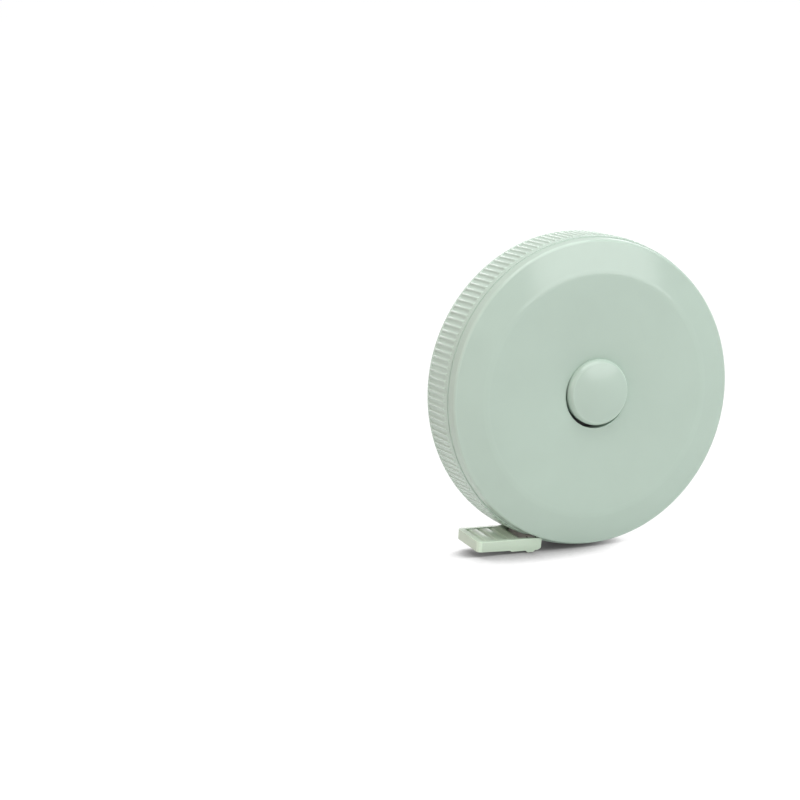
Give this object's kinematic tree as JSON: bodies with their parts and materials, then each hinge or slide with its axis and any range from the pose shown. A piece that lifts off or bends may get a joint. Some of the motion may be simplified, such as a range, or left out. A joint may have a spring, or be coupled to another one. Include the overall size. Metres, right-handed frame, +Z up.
{
  "type": "retractable cloth tape measure",
  "caption": "Round retractable sewing tape measure with a ribbed rim, bevelled plastic covers, a central push-button brake and a grip tab on the end of the coated cloth tape.",
  "frame": {"origin": "centre of the rear cover's flat face, on the spool's axis", "axes": "+Z up with the case standing on its rim, +Y out of the rear face along the spool's axis, the front and its button towards -Y, the tape leaving towards -X"},
  "size_m": [0.05, 0.0131, 0.05],
  "materials": {
    "case_plastic": "satin moulded plastic, pale mint green",
    "button_plastic": "satin moulded plastic, pale mint green",
    "tab_plastic": "satin moulded plastic, pale mint green",
    "inner_plastic": "charcoal moulded plastic",
    "coated_cloth": "coated woven cloth with printed marks",
    "steel": "drawn or rolled steel",
    "brake_rubber": "matt rubber"
  },
  "bodies": {
    "case": {"front_cover": "case_plastic", "rear_cover": "case_plastic", "spring_arbor": "inner_plastic"},
    "spool": {"spool_drum": "inner_plastic", "spool_lid": "inner_plastic", "tape_coil": "coated_cloth", "tape_anchor_pin": "steel", "mainspring": "steel"},
    "button": {"push_button": "button_plastic", "brake_disc": "inner_plastic", "brake_ring": "brake_rubber", "button_screw": "steel", "button_spring": "steel"},
    "tape_end": {"tape_leader": "coated_cloth", "tab_upper": "tab_plastic", "tab_lower": "tab_plastic", "tab_pin": "steel"}
  },
  "joints": [
    {"name": "spool_turn", "type": "hinge", "parent": "case", "child": "spool", "pos_m": [0, -0.0057, 0], "axis": [0, 1, 0], "range_deg": [0, 6037], "deforming": ["mainspring"]},
    {"name": "tape_pull", "type": "slide", "parent": "case", "child": "tape_end", "axis": [-0.9996, 0, 0.0279], "range_m": [0, 1.5], "deforming": ["tape_leader"]},
    {"name": "button_press", "type": "slide", "parent": "case", "child": "button", "axis": [0, 1, 0], "range_m": [0, 0.0015], "stiffness_N_per_m": 800, "deforming": ["button_spring"]}
  ],
  "couplings": [
    {"joint": "tape_pull", "follows": "spool_turn", "m_per_rad": 0.014236}
  ]
}
